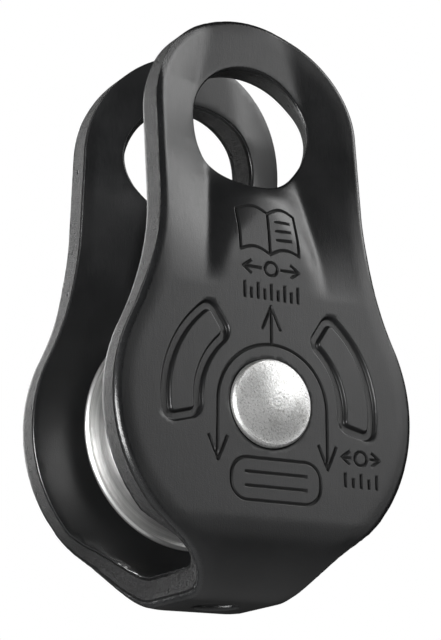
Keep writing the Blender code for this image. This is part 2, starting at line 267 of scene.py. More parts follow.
def pressing(across, height):
    """Depth of the pressed zone: a V on each side, and a panel between them."""
    valley = np.interp(height, *zip(*VALLEYS))
    depth = np.interp(height, *zip(*RECESS))
    floor = np.minimum(depth, PANEL_SLOPE * np.maximum(0.0, height - PANEL_START_Z))
    floor = floor + (depth - floor) * soft_step(height, *PANEL_FADE)
    width = PANEL_WALL[0] + (PANEL_WALL[1] - PANEL_WALL[0]) * soft_step(
        height, *PANEL_SPREAD)
    land = soft_step(-across, 0.0, LAND_SPREAD)
    across = np.abs(across)
    start = NECK_HALF - NECK_BEVEL[0] * land
    flank = depth * (start - across) / (start - valley)
    wall = floor + (depth - floor) * (across - valley + width) / width
    blend = CREASE_SOFT * ramp(depth, 0.0, 0.8) + 1e-4
    middle = soft_max(floor, wall, PANEL_SOFT * ramp(depth, 0.0, 2.0) + 1e-4)
    return soft_max(soft_min(flank, middle, blend), 0.0, 0.5 * blend)


def strap_place(x, u, depth):
    """Where a point of the blank lies once folded, depth below the outer face."""
    side, along = np.sign(u), np.abs(u)
    height = along - RISE
    angle = np.clip((along - FLAT_END) / BEND_R, 0.0, math.pi / 2.0)
    radius = BEND_R - depth
    flat_y = np.minimum(along, FLAT_END)
    fold_y = flat_y + radius * np.sin(angle)
    fold_z = BEND_R - radius * np.cos(angle)
    upright = along >= FOLD_END
    upright_y = OUTER_Y - lean(height) - pressing(x, height) - depth
    return np.column_stack((x, side * np.where(upright, upright_y, fold_y),
                            np.where(upright, height, fold_z)))


def strap_outline():
    """Closed outline of the unrolled strap, anticlockwise from the bridge."""
    top_u = TOP + RISE
    side_u = np.arange(0.0, TOP_Z + RISE, 0.05)
    side = np.column_stack((half_width(side_u - RISE), side_u))
    quarter = np.vstack((side, arc((0.0, TOP_Z + RISE), NECK_HALF, 0.0, 90.0, 200)))
    quarter[-1] = (0.0, top_u)
    rear = np.vstack((quarter, (quarter * (-1.0, 1.0))[::-1][1:]))
    whole = np.vstack((rear[:-1], -rear[:-1]))
    return resample(whole, EDGE_STEP, closed=True)


# -------------------------------------------------------------- engraving

def loop_distance(x, z):
    """Distance from the outline of an arc-shaped slot; z from the axle."""
    x = x - LOOP_X
    middle = math.radians(sum(LOOP_ANGLES) / 2.0)
    half_angle = math.radians(LOOP_ANGLES[1] - LOOP_ANGLES[0]) / 2.0
    radius = np.hypot(x, z)
    along = np.abs(np.arctan2(z, np.abs(x)) - middle) * radius
    past_end = along - half_angle * radius + LOOP_CORNER
    past_side = np.abs(radius - LOOP_R) - LOOP_HALF + LOOP_CORNER
    outside = np.hypot(np.maximum(past_end, 0.0), np.maximum(past_side, 0.0))
    return outside + np.minimum(np.maximum(past_end, past_side), 0.0) - LOOP_CORNER


def loop_outline(side, grow):
    """The slot's outline, moved outwards by grow; z from the axle."""
    half = LOOP_HALF + grow
    corner = max(LOOP_CORNER + grow, 0.08)
    low, high = (math.radians(angle) for angle in LOOP_ANGLES)
    points = []
    for radius_way, angle_way, start in ((1, 1, 0), (-1, 1, 90), (-1, -1, 180), (1, -1, 270)):
        centre_r = LOOP_R + radius_way * (half - corner)
        end = high if angle_way > 0 else low
        middle = end + angle_way * (grow - corner) / centre_r
        centre = (centre_r * math.cos(middle), centre_r * math.sin(middle))
        turn = math.degrees(middle) + start
        points.append(arc(centre, corner, turn, turn + 90.0, 9))
    low_in, low_out = points[2][-1], points[3][0]
    sweep = [points[0], np.linspace(points[0][-1], points[1][0], 12)[1:-1], points[1]]
    in_start, in_end = points[1][-1], points[2][0]
    angles = [math.degrees(math.atan2(*point[::-1])) for point in (in_start, in_end)]
    sweep += [arc((0, 0), LOOP_R - half, *angles, 24)[1:-1], points[2]]
    sweep += [np.linspace(low_in, low_out, 12)[1:-1], points[3]]
    out_start, out_end = points[3][-1], points[0][0]
    angles = [math.degrees(math.atan2(*point[::-1])) for point in (out_start, out_end)]
    sweep += [arc((0, 0), LOOP_R + half, *angles, 40)[1:-1]]
    return resample(np.vstack(sweep) * (side, 1.0) + (LOOP_X, 0.0), 0.3, closed=True)


def arrow_head(tip, way):
    """Two barbs that meet at the tip of an arrow."""
    return [[tip, (tip[0] + side * 1.3, tip[1] - way * 3.0)] for side in (-1, 1)]


def ticks(left, right, low, high, count):
    """A row of short upright bars, every other one long: a plain scale."""
    rows = []
    for index, x in enumerate(np.linspace(left, right, count)):
        top = high if index % 2 == 0 else low + 0.6 * (high - low)
        rows.append([(x, low), (x, top)])
    return rows


def pull_symbol(centre, reach):
    """A ring pulled both ways: a circle with an arrow on each side."""
    x, z = centre
    paths = [arc(centre, 0.95, 0.0, 360.0, 17)]
    for side in (-1, 1):
        tip = (x + side * reach, z)
        paths.append([(x + side * 1.6, z), tip])
        paths += [[tip, (tip[0] - side * 1.1, z + way * 0.8)] for way in (-1, 1)]
    return paths


def rounded_frame(centre, half_x, half_z, corner):
    """A rounded rectangle as one closed stroke."""
    points = []
    for way_x, way_z, start in ((1, 1, 0), (-1, 1, 90), (-1, -1, 180), (1, -1, 270)):
        middle = (centre[0] + way_x * (half_x - corner), centre[1] + way_z * (half_z - corner))
        points += list(arc(middle, corner, start, start + 90.0, 8))
    return points + points[:1]


def page(spine, side):
    """One page of the open book, with its curled top and bottom edges."""
    bottom, top, width, curl = 20.4, 26.2, 4.4, 0.75
    across = np.linspace(0.0, 1.0, 9)
    lift = curl * np.sin(math.pi * across) - 0.3 * (1.0 - across)
    lower = np.column_stack((spine + side * width * across, bottom + lift))
    upper = np.column_stack((spine + side * width * across, top + lift))
    return [lower, upper, [lower[-1], upper[-1]]]


def strokes():
    """Engraved lines of the front plate as (x, z) paths, z from the axle."""
    middle, arch, foot = 0.42, 8.1, -7.9
    top = arc((middle, -0.25), arch, 0.0, 180.0, 48)
    paths = [np.vstack(([(middle + arch, foot)], top, [(middle - arch - 0.1, foot)]))]
    for side in (-1, 1):
        paths += arrow_head((middle + side * arch, foot), -1)
    tip = (middle - 0.1, 13.0)
    paths += [[(tip[0], arch - 0.25), tip]] + arrow_head(tip, 1)
    spine = 0.35
    paths += page(spine, -1) + page(spine, 1) + [[(spine, 20.1), (spine, 25.9)]]
    paths += [[(spine + 1.2, z), (spine + 3.3, z + 0.1)] for z in (22.3, 23.6, 24.9)]
    paths += pull_symbol((0.4, 18.1), 4.2) + ticks(-3.6, 4.4, 14.0, 15.9, 9)
    paths += pull_symbol((13.6, -6.0), 2.9) + ticks(11.2, 16.0, -9.8, -8.2, 5)
    paths += [rounded_frame((0.8, -10.0), 6.6, 2.75, 2.3)]
    paths += [[(-3.6, z), (5.2, z)] for z in (-9.1, -10.9)]
    return [resample(path, 0.45) for path in paths]


def stroke_distance(paths, points):
    """Distance from each point to the nearest engraved path."""
    nearest = np.full(len(points), 99.0)
    for path in paths:
        reach = (points > path.min(0) - 1.0).all(1) & (points < path.max(0) + 1.0).all(1)
        here = points[reach]
        for start, end in zip(path, path[1:]):
            run = end - start
            share = np.clip((here - start) @ run / (run @ run), 0.0, 1.0)
            gap = np.hypot(*(here - start - share[:, None] * run).T)
            nearest[reach] = np.minimum(nearest[reach], gap)
    return nearest


def stroke_outline(path, reach):
    """Closed line round an open path, at a distance from it."""
    path = np.asarray(path, float)
    run = np.gradient(path, axis=0)
    run /= np.hypot(*run.T)[:, None]
    side = np.column_stack((-run[:, 1], run[:, 0])) * reach
    longer = path.copy()
    longer[0] -= run[0] * reach
    longer[-1] += run[-1] * reach
    return np.vstack((longer + side, (longer - side)[::-1]))


def engraving_depth(paths, x, u):
    """(groove depth, share that is engraved line) for points of the blank; the share also
    darkens the lines with painted shade.
    """
    height = -u - RISE
    z = height - AXLE_Z
    near = (u < -FOLD_END) & (np.hypot(x, z) < 30.0)
    depth, ink = np.zeros(len(x)), np.zeros(len(x))
    gap = np.abs(loop_distance(x[near], z[near]) + LOOP_WIDTH / 2.0) - LOOP_WIDTH / 2.0
    loops = LOOP_DEPTH * (1.0 - soft_step(gap, -LOOP_WALL / 2.0, LOOP_WALL / 2.0))
    away = stroke_distance(paths, np.column_stack((x[near], z[near])))
    ink[near] = 1.0 - soft_step(away, STROKE_FLOOR, STROKE_HALF)
    depth[near] = np.maximum(loops, STROKE_DEPTH * ink[near])
    return depth, ink


def engraving_lines(paths):
    """Closed lines that the mesh must follow, as blank coordinates (x, u)."""
    made = []
    for side in (-1, 1):
        for edge in (0.0, -LOOP_WIDTH):
            base = loop_outline(side, edge)
            away = normals_of(base)
            for part in (-0.7, -0.5, -0.25, 0.0, 0.25, 0.5, 0.7):
                made.append(base + away * part * LOOP_WALL)
    for path in paths:
        for reach in (STROKE_FLOOR, STROKE_HALF, STROKE_HALF + STROKE_GUARD):
            made.append(stroke_outline(path, reach))
    return [np.column_stack((line[:, 0], -(line[:, 1] + AXLE_Z + RISE))) for line in made]


# ------------------------------------------------------------- strap mesh

class Shell:
    """Vertices, faces and painted values gathered from strips and sheets."""

    def __init__(self):
        self.places, self.faces, self.cut, self.rim, self.ink = [], [], [], [], []
        self.count = 0

    def add(self, places, faces, cut=0.0, rim=0.0, ink=0.0):
        size = len(places)
        for store, value in ((self.cut, cut), (self.rim, rim), (self.ink, ink)):
            store.append(np.broadcast_to(value, size))
        self.places.append(places)
        self.faces += [tuple(int(corner) + self.count for corner in face) for face in faces]
        self.count += size

    def mesh(self, name):
        made = bpy.data.meshes.new(name)
        made.from_pydata(np.vstack(self.places) * MM, [], self.faces)
        for label, values in (("cut", self.cut), ("rim", self.rim), ("ink", self.ink)):
            layer = made.attributes.new(label, "FLOAT", "POINT")
            layer.data.foreach_set("value", np.concatenate(values).astype(np.float32))
        bm = bmesh.new()
        bm.from_mesh(made)
        bmesh.ops.remove_doubles(bm, verts=bm.verts, dist=STRAP_MERGE)
        bmesh.ops.recalc_face_normals(bm, faces=bm.faces)
        bm.to_mesh(made)
        bm.free()
        made.shade_smooth()
        return made


def edge_rows(roll, inner, wall_rows, outer_rows=7, inner_rows=3, shoulder=(0.0, 0.0)):
    """Section of an edge from the outer face to the inner: (inset, depth, cut, rim)."""
    width, drop = roll
    reach, sink = shoulder
    rows = []
    for share in np.linspace(0.0, 1.0, 7)[:-1]:
        if reach:
            rows.append((reach + (width - reach) * share, sink * share ** 2, 0.0, 0.0))
    for turn in np.linspace(0.0, math.pi / 2.0, outer_rows + 1):
        rows.append((width * (1.0 - math.sin(turn)),
                     sink + drop * (1.0 - math.cos(turn)), 0.0, math.sin(2.0 * turn)))
    for depth in np.linspace(sink + drop, PLATE_T - inner, wall_rows + 1)[1:-1]:
        rows.append((0.0, depth, 1.0, 0.0))
    for turn in np.linspace(math.pi / 2.0, 0.0, inner_rows + 1):
        rows.append((inner * (1.0 - math.sin(turn)),
                     PLATE_T - inner * (1.0 - math.cos(turn)), 0.0, math.sin(2.0 * turn)))
    return rows


def bevel_rows(rows, bevel):
    """The same section with a flat land in place of the die roll and its shoulder."""
    width, drop = bevel
    walls = [depth for _, depth, cut, _ in rows if cut]
    made = []
    for inset, depth, cut, rim in rows:
        if cut:
            depth = drop + (depth - walls[0]) * (walls[-1] - drop) / (walls[-1] - walls[0])
        elif depth < walls[0]:
            depth = drop * min(1.0, max(0.0, 1.0 - inset / width))
        made.append((inset, depth, cut, rim))
    return made


def sheared(x, u, depth):
    """How far the rough cut side lies inside the outline, never outside it."""
    places = strap_place(x, u, depth)
    coarse = np.abs(grain(places, 0.9))
    fine = np.abs(grain(places, 3.1, 2))
    pits = np.maximum(grain(places + 40.0, 1.7, 2) - PIT_LEVEL, 0.0)
    torn = 1.0 - soft_step(np.abs(u), *TORN_ZONE)
    return (SHEAR_LEAST + (SHEAR_COARSE[0] + SHEAR_COARSE[1] * torn) * coarse
            + (SHEAR_FINE[0] + SHEAR_FINE[1] * torn) * fine + SHEAR_PITS * pits)


def flared(points, depth, flare):
    """A hole in the middle of the strap, wider by flare once through it."""
    return points * (1.0 + flare * depth / PLATE_T, 1.0)


def add_edge(shell, loop, outward, rows, rough=1.0, flare=0.0, neck_rows=None):
    """Strip of quads that closes an edge between the two faces."""
    count = len(loop)
    neck = soft_step(np.abs(loop[:, 1]) - RISE, *BEVEL_START)
    neck = neck * soft_step(-outward[:, 0], *LAND_FACING)
    roll = max((inset for inset, _, _, rim in rows if rim), default=1.0)
    for index, (inset, depth, cut, rim) in enumerate(rows):
        base = loop - outward * inset
        reach = 1.0 if inset == 0.0 else max(0.0, 1.0 - inset / roll) ** 2
        if rough and 0 < index < len(rows) - 1:
            worn = sheared(base[:, 0], base[:, 1], np.full(count, depth))
            base = base - outward * (rough * reach * worn)[:, None]
        base = flared(base, depth, flare)
        depths = depth + (neck_rows[index][1] - depth) * neck if neck_rows else depth
        places = strap_place(base[:, 0], base[:, 1], np.broadcast_to(depths, count))
        faces = []
        if index:
            first, last = shell.count - count, shell.count
            for here in range(count):
                after = (here + 1) % count
                faces.append((first + here - last, first + after - last, after, here))
        shell.add(places, faces, cut, rim)


def add_sheet(shell, loops, grid, depth_at, lines=()):
    """Triangulated face between closed loops; the first is the outer boundary."""
    points, edges = [], []
    for line in list(loops) + list(lines):
        start = len(points)
        points += [tuple(point) for point in line]
        edges += [(start + index, start + index + 1) for index in range(len(line) - 1)]
        edges.append((start + len(line) - 1, start))
    tree = kdtree.KDTree(len(points))
    for index, (x, u) in enumerate(points):
        tree.insert((x, u, 0.0), index)
    tree.balance()
    low, high = loops[0].min(0), loops[0].max(0)
    fixed = len(points)
    for row, u in enumerate(np.arange(low[1], high[1], grid * math.sqrt(3.0) / 2.0)):
        for x in np.arange(low[0] + (row % 2) * grid / 2.0, high[0], grid):
            if tree.find((x, u, 0.0))[2] > 0.55 * grid:
                points.append((x, u))
    inner = np.array(points[fixed:])
    keep = inside(inner, loops)
    points = points[:fixed] + [tuple(point) for point in inner[keep]]
    flat, _, faces, *_ = delaunay_2d_cdt([Vector(point) for point in points], edges, [],
                                         0, 1e-7)
    flat = np.array([tuple(point) for point in flat])
    faces = np.array(faces)
    faces = faces[inside(flat[faces].mean(1), loops)]
    depth, ink = depth_at(flat[:, 0], flat[:, 1])
    shell.add(strap_place(flat[:, 0], flat[:, 1], depth), faces, ink=ink)


def inside(points, loops):
    """Whether points lie inside the first loop and outside the others."""
    odd = np.zeros(len(points), bool)
    for loop in loops:
        for start, end in zip(loop, np.roll(loop, -1, axis=0)):
            if start[1] == end[1]:
                continue
            spans_it = (start[1] > points[:, 1]) != (end[1] > points[:, 1])
            slope = (end[0] - start[0]) / (end[1] - start[1])
            odd ^= spans_it & (points[:, 0] < start[0] + slope * (points[:, 1] - start[1]))
    return odd


def hole_loop(radius, centre_u):
    """A hole's outline in blank coordinates, clockwise so that it faces inwards."""
    count = max(48, int(2.0 * math.pi * radius / EDGE_STEP))
    angles = -2.0 * math.pi * np.arange(count) / count
    return np.column_stack((radius * np.cos(angles), centre_u + radius * np.sin(angles)))


def build_strap(look):
    """The folded strap: two faces, joined by rows round the outline and holes."""
    shell = Shell()
    paths = strokes()
    outline = strap_outline()
    edges = [(outline, edge_rows(OUTER_ROLL, INNER_ROUND, 9, shoulder=SHOULDER), 1.0, 0.0)]
    for way in (-1, 1):
        eye = hole_loop(EYE_R, way * (EYE_Z + RISE))
        edges.append((eye, edge_rows(EYE_ROLL, 0.3, 7, 5), 0.35, EYE_FLARE / EYE_R))
        bore = hole_loop(BORE_R, way * (AXLE_Z + RISE))
        seat = [(BORE_R - SEAT_R - 0.2, 0.0, 0.0, 0.0), (BORE_R - SEAT_R, 0.1, 0.0, 0.0),
                (BORE_R - SEAT_R, SEAT_DEPTH, 0.0, 0.0), (0.0, SEAT_DEPTH, 0.0, 0.0),
                (0.0, PLATE_T, 0.0, 0.0)]
        edges.append((bore, [(-inset, *rest) for inset, *rest in seat], 0.0, 0.0))
    edges.append((hole_loop(DRAIN_R, 0.0), edge_rows((0.6, 0.6), 0.3, 6, 5), 0.3, 0.0))
    outer_loops, inner_loops = [], []
    for loop, rows, rough, flare in edges:
        outward = normals_of(loop)
        neck_rows = bevel_rows(rows, NECK_BEVEL) if loop is outline else None
        add_edge(shell, loop, outward, rows, rough, flare, neck_rows)
        outer_loops.append(loop - outward * rows[0][0])
        inner_loops.append(flared(loop - outward * rows[-1][0], PLATE_T, flare))

    def outer_depth(x, u):
        return engraving_depth(paths, x, u)

    def inner_depth(x, u):
        return np.full(len(x), PLATE_T), 0.0

    add_sheet(shell, outer_loops, OUTER_GRID, outer_depth, engraving_lines(paths))
    add_sheet(shell, inner_loops, INNER_GRID, inner_depth)
    return link("frame_strap", shell.mesh("frame_strap"), "block", ["frame"], look)


# ------------------------------------------------------------ turned work

def arc_profile(centre_r, centre_y, radius, start, end, count):
    """Arc in the (radius, y) plane of a turned profile; angles in degrees."""
    return [tuple(point) for point in arc((centre_r, centre_y), radius, start, end, count)]


def turned(name, profile, steps, body, node, look):
    """Solid of revolution round the axle from a closed (radius, y) outline."""
    profile = np.asarray(profile, float)
    angles = 2.0 * math.pi * np.arange(steps) / steps
    ring = np.column_stack((np.cos(angles), np.sin(angles)))
    places = np.empty((len(profile), steps, 3))
    places[:, :, 0] = profile[:, :1] * ring[:, 0]
    places[:, :, 1] = profile[:, 1:]
    places[:, :, 2] = profile[:, :1] * ring[:, 1]
    faces = []
    for row in range(len(profile)):
        below = (row + 1) % len(profile)
        if profile[row, 0] == 0.0 and profile[below, 0] == 0.0:
            continue
        for step in range(steps):
            after = (step + 1) % steps
            faces.append((row * steps + step, row * steps + after,
                          below * steps + after, below * steps + step))
    mesh = bpy.data.meshes.new(name)
    mesh.from_pydata(places.reshape(-1, 3) * MM, [], faces)
    bm = bmesh.new()
    bm.from_mesh(mesh)
    bmesh.ops.remove_doubles(bm, verts=bm.verts, dist=TURNED_MERGE)
    bmesh.ops.dissolve_degenerate(bm, edges=bm.edges, dist=SLIVER)
    bmesh.ops.recalc_face_normals(bm, faces=bm.faces)
    bm.to_mesh(mesh)
    bm.free()
    mesh.shade_smooth()
    mesh.set_sharp_from_angle(angle=SHARP_ANGLE)
    return link(name, mesh, body, [node], look, (0.0, 0.0, AXLE_Z * MM))


def chamfered(inner, outer, low, high, cut):
    """Ring profile with its four corners broken."""
    return [(inner, high - cut), (inner + cut, high), (outer - cut, high),
            (outer, high - cut), (outer, low + cut), (outer - cut, low),
            (inner + cut, low), (inner, low + cut)]


def build_sheave(look):
    """The grooved wheel, with the fine lines left by the lathe."""
    half, rim = SHEAVE.y, SHEAVE.x
    lip, bore = SHEAVE_LIP, SHEAVE_BORE_R
    dish = BUSH.x + DISH_MARGIN
    slope = dish + DISH_SLOPE
    face = half - FACE_RECESS
    groove = half - 1.5 * lip
    deep = rim - lip - TREAD_R
    sweep = []
    for turn in np.linspace(-90.0, 90.0, 150):
        angle = math.radians(turn)
        sweep.append((rim - lip - deep * math.cos(angle), -groove * math.sin(angle)))
    top = arc_profile(rim - lip, half - lip, lip, 90.0, -60.0, 12)
    low = arc_profile(rim - lip, lip - half, lip, 60.0, -90.0, 12)
    working = np.array(top + sweep[1:-1] + low)
    cuts = np.array([noise.noise(Vector((index * 0.61, 3.0, 0.0))) for index in
                     range(len(working))])
    working[:, 0] -= TOOL_LINE * (1.0 + cuts)
    front = [(bore, face - BORE_CHAMFER), (bore + BORE_CHAMFER, face), (dish, face),
             (slope, half)]
    back = [(slope, -half), (dish, -face), (bore + BORE_CHAMFER, -face),
            (bore, BORE_CHAMFER - face)]
    profile = front + [tuple(point) for point in working] + back
    return turned("sheave_wheel", profile, 160, "wheel", "sheave", look)


def build_rivet(look):
    """The axle rivet: a shank between two low domed heads."""
    head_r, apex = RIVET.x, RIVET.y
    seat = OUTER_Y - SEAT_DEPTH + HEAD_GAP
    rim = OUTER_Y + HEAD_RIM
    corner = HEAD_CORNER
    dome_r = head_r - corner * (1.0 - math.cos(math.radians(65.0)))
    dome = []
    for part in np.linspace(0.0, 1.0, 46):
        radius = dome_r * part
        height = rim + (apex - rim) * math.cos(math.pi / 2.0 * part ** 1.15) ** 1.4
        ring = math.exp(-((radius - 0.85) / 0.16) ** 2)
        centre = math.exp(-(radius / 0.4) ** 2)
        dome.append((radius, height - 0.025 * ring - 0.02 * centre))
    dome += arc_profile(head_r - corner, rim - corner, corner, 65.0, 0.0, 7)
    head = dome + [(head_r, seat + 0.1), (head_r - 0.1, seat), (SHANK_R, seat)]
    profile = head + [(radius, -y) for radius, y in reversed(head)]
    return turned("axle_rivet_heads", profile, 144, "block", "axle_rivet", look)


def build_bush(way, look):
    """Flanged bush: its flange rests beside the sheave, its barrel inside it."""
    name = "front" if way < 0 else "rear"
    low, high = (corner.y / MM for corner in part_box("bush_" + name))
    inner, barrel = TURNING_BORE_R, BARREL_R
    flange, cut = BUSH.x, 0.12
    top, end = (high, low) if way > 0 else (-low, -high)
    seat = top - FLANGE_T
    profile = [(inner, top - cut), (inner + cut, top), (flange - cut, top),
               (flange, top - cut), (flange, seat + cut), (flange - cut, seat),
               (barrel, seat), (barrel, end + cut), (barrel - cut, end), (inner, end)]
    if way < 0:
        profile = [(radius, -y) for radius, y in profile]
    return turned("bush_" + name + "_flanged", profile, 96, "wheel",
                  "bush_" + name, look)


def build_washer(name, look):
    """Thrust washer with a shallow grease groove on its running face."""
    node = "thrust_washer_" + name
    low, high = (corner.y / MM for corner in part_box(node))
    inner, outer = TURNING_BORE_R, WASHER[1].x / MM
    side = 1.0 if low + high > 0.0 else -1.0
    run, back = (low, high) if side > 0.0 else (high, low)
    profile = [(inner + 0.15, run), (6.4, run), (6.6, run + side * 0.18),
               (7.2, run + side * 0.18), (7.4, run), (outer - 0.2, run),
               (outer, run + side * 0.2), (outer, back - side * 0.2),
               (outer - 0.2, back), (inner + 0.15, back), (inner, back - side * 0.15),
               (inner, run + side * 0.15)]
    return turned("washer_" + name + "_disc", profile, 96, "washer_" + name,
                  node, look)


def build_sleeve(look):
    """Spacer tube that the rivet clamps between the plates."""
    half, outer = SLEEVE.y, SLEEVE.x
    profile = chamfered(SLEEVE_BORE_R, outer, -half, half, 0.2)
    return turned("axle_sleeve_tube", profile, 96, "block", "axle_sleeve", look)


# -------------------------------------------------------------- materials

class Graph:
    """A material's node tree, with its coordinates in millimetres."""

    def __init__(self, name):
        self.material = bpy.data.materials.new(name)
        self.material.use_nodes = True
        self.tree = self.material.node_tree
        self.shader = self.tree.nodes["Principled BSDF"]
        coordinates = self.node("ShaderNodeTexCoord").outputs["Object"]
        self.place = self.scaled(coordinates, (1.0 / MM,) * 3)

    def node(self, kind, **settings):
        made = self.tree.nodes.new(kind)
        for key, value in settings.items():
            setattr(made, key, value)
        return made

    def feed(self, socket, value):
        if isinstance(value, bpy.types.NodeSocket):
            self.tree.links.new(value, socket)
        else:
            socket.default_value = value

    def scaled(self, vector, scale):
        made = self.node("ShaderNodeVectorMath", operation="MULTIPLY")
        self.feed(made.inputs[0], vector)
        self.feed(made.inputs[1], scale)
        return made.outputs[0]

    def noise(self, scale, detail=3.0, rough=0.55, vector=None):
        made = self.node("ShaderNodeTexNoise")
        self.feed(made.inputs["Vector"], self.place if vector is None else vector)
        self.feed(made.inputs["Scale"], scale)
        self.feed(made.inputs["Detail"], detail)
        self.feed(made.inputs["Roughness"], rough)
        return made.outputs["Fac"]

    def cells(self, scale):
        made = self.node("ShaderNodeTexVoronoi")
        self.feed(made.inputs["Vector"], self.place)
        self.feed(made.inputs["Scale"], scale)
        return made.outputs["Distance"]

    def value(self, name):
        return self.node("ShaderNodeAttribute", attribute_name=name).outputs["Fac"]

    def math(self, operation, first, second):
        made = self.node("ShaderNodeMath", operation=operation)
        for socket, value in zip(made.inputs, (first, second)):
            self.feed(socket, value)
        return made.outputs[0]

    def span(self, value, low, high, new_low, new_high):
        made = self.node("ShaderNodeMapRange")
        for name, number in (("Value", value), ("From Min", low), ("From Max", high),
                             ("To Min", new_low), ("To Max", new_high)):
            self.feed(made.inputs[name], number)
        return made.outputs["Result"]

    def mix(self, share, first, second):
        made = self.node("ShaderNodeMix", data_type="RGBA")
        self.feed(made.inputs["Factor"], share)
        colour_in = [socket for socket in made.inputs if socket.type == "RGBA"]
        for socket, value in zip(colour_in, (first, second)):
            self.feed(socket, (*value, 1.0) if isinstance(value, tuple) else value)
        return next(socket for socket in made.outputs if socket.type == "RGBA")

    def bump(self, height, distance, under=None):
        made = self.node("ShaderNodeBump")
        self.feed(made.inputs["Strength"], 1.0)
        self.feed(made.inputs["Distance"], distance * MM)
        self.feed(made.inputs["Height"], height)
        if under is not None:
            self.feed(made.inputs["Normal"], under)
        return made.outputs["Normal"]

    def finish(self, **sockets):
        for name, value in sockets.items():
            socket = self.shader.inputs[name.replace("_", " ")]
            self.feed(socket, (*value, 1.0) if socket.type == "RGBA" and
                      isinstance(value, tuple) else value)
        return self.material


def anodised():
    """Satin black anodised aluminium, rougher on the cut sides."""
    g = Graph("black_anodised")
    cut, rim, ink = (g.value(name) for name in ("cut", "rim", "ink"))
    cloud = g.noise(0.12, 4.0)
    speck = g.noise(6.0, 2.0, 0.6)
    drawn = g.noise(1.0, 3.0, 0.7, g.scaled(g.place, (4.5, 4.5, 0.5)))
    face = g.mix(g.span(cloud, 0.3, 0.7, 0.0, 1.0), (0.011, 0.0115, 0.012),
                 (0.019, 0.0193, 0.020))
    face = g.mix(g.math("MULTIPLY", rim, g.span(speck, 0.5, 0.7, 0.0, 0.12)), face,
                 (0.075, 0.075, 0.074))
    side = g.mix(g.span(g.noise(1.3, 5.0, 0.75), 0.35, 0.65, 0.0, 1.0),
                 (0.004, 0.004, 0.0045), (0.032, 0.032, 0.031))
    # Painted shade: the cut sides are made darker towards the bottom of the strap, from 26 mm
    # down to 6 mm.
    split = g.node("ShaderNodeSeparateXYZ")
    g.feed(split.inputs[0], g.place)
    low = g.span(split.outputs["Z"], 6.0, 26.0, 0.8, 0.0)
    side = g.mix(low, side, (0.006, 0.006, 0.0065))
    colour = g.mix(cut, face, side)
    # Painted shade: the engraved lines are coloured near black for the shade inside their
    # grooves.
    colour = g.mix(ink, colour, (0.008, 0.008, 0.008))
    rough = g.math("ADD", g.span(drawn, 0.3, 0.7, 0.30, 0.38),
                   g.span(cloud, 0.3, 0.7, -0.02, 0.03))
    rough = g.math("ADD", rough, g.math("MULTIPLY", cut, 0.10))
    rough = g.math("SUBTRACT", rough, g.math("MULTIPLY", rim, 0.12))
    rough = g.math("ADD", rough, g.math("MULTIPLY", ink, 0.3))
    fine = g.bump(speck, 0.014)
    lines = g.bump(drawn, 0.011, fine)
    pits = g.span(g.cells(0.42), 0.04, 0.13, 0.0, 1.0)
    broken = g.math("ADD", g.noise(2.6, 6.0, 0.75), g.math("MULTIPLY", pits, 1.5))
    torn = g.bump(g.math("MULTIPLY", cut, broken), 0.42, lines)
    return g.finish(Base_Color=colour, Roughness=rough, Normal=torn, IOR=1.62)


def turned_aluminium():
    """Bright lathe-turned aluminium; its lines run round the axle."""
    g = Graph("turned_aluminium")
    flat = g.scaled(g.place, (1.0, 0.0, 1.0))
    length = g.node("ShaderNodeVectorMath", operation="LENGTH")
    g.feed(length.inputs[0], flat)
    split = g.node("ShaderNodeSeparateXYZ")
    g.feed(split.inputs[0], g.place)
    section = g.node("ShaderNodeCombineXYZ")
    g.feed(section.inputs[0], length.outputs["Value"])
    g.feed(section.inputs[1], split.outputs["Y"])
    lines = g.noise(5.5, 3.0, 0.7, section.outputs[0])
    wide = g.noise(0.9, 2.0, 0.5, section.outputs[0])
    stain = g.noise(0.35, 4.0)
    tone = g.math("MULTIPLY", lines, g.span(wide, 0.3, 0.7, 0.6, 1.2))
    colour = g.mix(g.span(tone, 0.25, 0.7, 0.0, 1.0), (0.56, 0.56, 0.555),
                   (1.0, 1.0, 0.99))
    colour = g.mix(g.span(stain, 0.5, 0.75, 0.0, 0.25), colour, (0.50, 0.50, 0.49))
    rough = g.math("ADD", g.span(lines, 0.3, 0.7, 0.32, 0.44),
                   g.span(stain, 0.35, 0.75, 0.0, 0.06))
    normal = g.bump(lines, 0.022)
    return g.finish(Base_Color=colour, Metallic=1.0, Roughness=rough, Normal=normal)


def tumbled_steel():
    """Stainless steel with the fine speckle of a tumbled finish."""
    g = Graph("tumbled_steel")
    speck = g.noise(4.2, 5.0, 0.75)
    cells = g.cells(2.6)
    stain = g.noise(0.28, 4.0, 0.6)
    dark = g.span(speck, 0.36, 0.50, 0.0, 1.0)
    colour = g.mix(dark, (0.52, 0.52, 0.51), (1.0, 1.0, 0.99))
    colour = g.mix(g.span(stain, 0.5, 0.72, 0.0, 0.5), colour, (0.42, 0.41, 0.38))
    rough = g.math("ADD", g.span(speck, 0.3, 0.7, 0.57, 0.44),
                   g.span(cells, 0.0, 0.5, 0.05, 0.0))
    pits = g.bump(speck, 0.034)
    normal = g.bump(cells, 0.018, pits)
    return g.finish(Base_Color=colour, Metallic=1.0, Roughness=rough, Normal=normal)


def bush_liner():
    """Dark self-lubricating liner material with flecks of bronze."""
    g = Graph("bush_liner")
    fleck = g.cells(3.0)
    cloud = g.noise(0.8, 4.0)
    colour = g.mix(g.span(fleck, 0.05, 0.25, 1.0, 0.0), (0.12, 0.115, 0.11),
                   (0.34, 0.25, 0.15))
    colour = g.mix(g.span(cloud, 0.35, 0.7, 0.0, 0.5), colour, (0.07, 0.07, 0.07))
    rough = g.span(cloud, 0.3, 0.7, 0.42, 0.6)
    return g.finish(Base_Color=colour, Roughness=rough, Metallic=0.3,
                    Normal=g.bump(fleck, 0.02))


